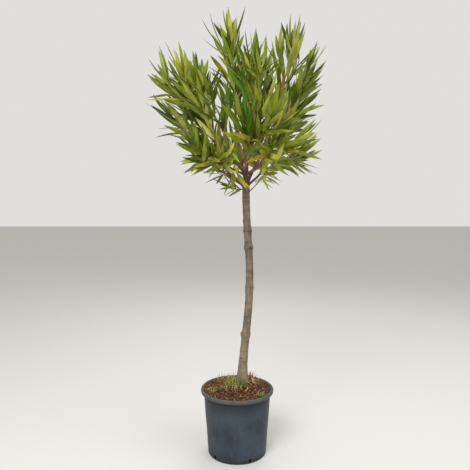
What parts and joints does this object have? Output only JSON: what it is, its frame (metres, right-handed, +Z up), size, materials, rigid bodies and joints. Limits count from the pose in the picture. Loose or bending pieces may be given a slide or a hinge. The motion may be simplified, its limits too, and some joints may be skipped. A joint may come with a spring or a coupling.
{
  "type": "potted oleander",
  "caption": "Standard oleander in a round nursery pot: a bare, slightly bowed trunk that forks into slender boughs and an open head of long narrow leaves.",
  "frame": {"origin": "centre of the pot's flat underside", "axes": "+Z up along the pot's axis, -Y towards the picture's viewer, +X to the viewer's right"},
  "size_m": [0.8173, 0.9357, 2.0358],
  "materials": {
    "pot": "dark blue-grey moulded plastic with a soft sheen, dusty on the rim",
    "soil": "reddish-brown bark compost",
    "bark": "smooth grey-brown bark with faint rings",
    "young_bark": "smooth reddish-brown young bark",
    "leaf": "leathery mid-green leaves with a soft sheen",
    "pale_leaf": "ageing yellow-green leaves"
  },
  "bodies": {
    "root": {"pot": "pot", "soil": "soil", "trunk": "bark", "bough_centre": "young_bark", "bough_right": "young_bark", "bough_right_low": "young_bark", "bough_left": "young_bark", "bough_front": "young_bark", "bough_back": "young_bark", "bough_left_rise": "young_bark", "bough_middle": "young_bark", "bough_right_rise": "young_bark", "bough_inner_left": "young_bark", "bough_front_left": "young_bark", "bough_front_right": "young_bark", "bough_back_left": "young_bark", "bough_back_right": "young_bark", "bough_back_low": "young_bark", "leaves_top_left": "leaf", "leaves_top_right": "leaf", "leaves_right_fan": "leaf", "leaves_outer_left": "leaf", "leaves_front": "leaf", "leaves_back": "leaf", "leaves_left_top": "leaf", "leaves_middle": "leaf", "leaves_right": "leaf", "leaves_inner_left": "leaf", "leaves_front_left": "leaf", "leaves_front_right": "leaf", "leaves_back_left": "leaf", "leaves_back_right": "leaf", "leaves_back_low": "leaf", "leaves_low_left": "pale_leaf", "leaves_low_right": "pale_leaf", "sprig_low": "leaf"}
  },
  "joints": []
}
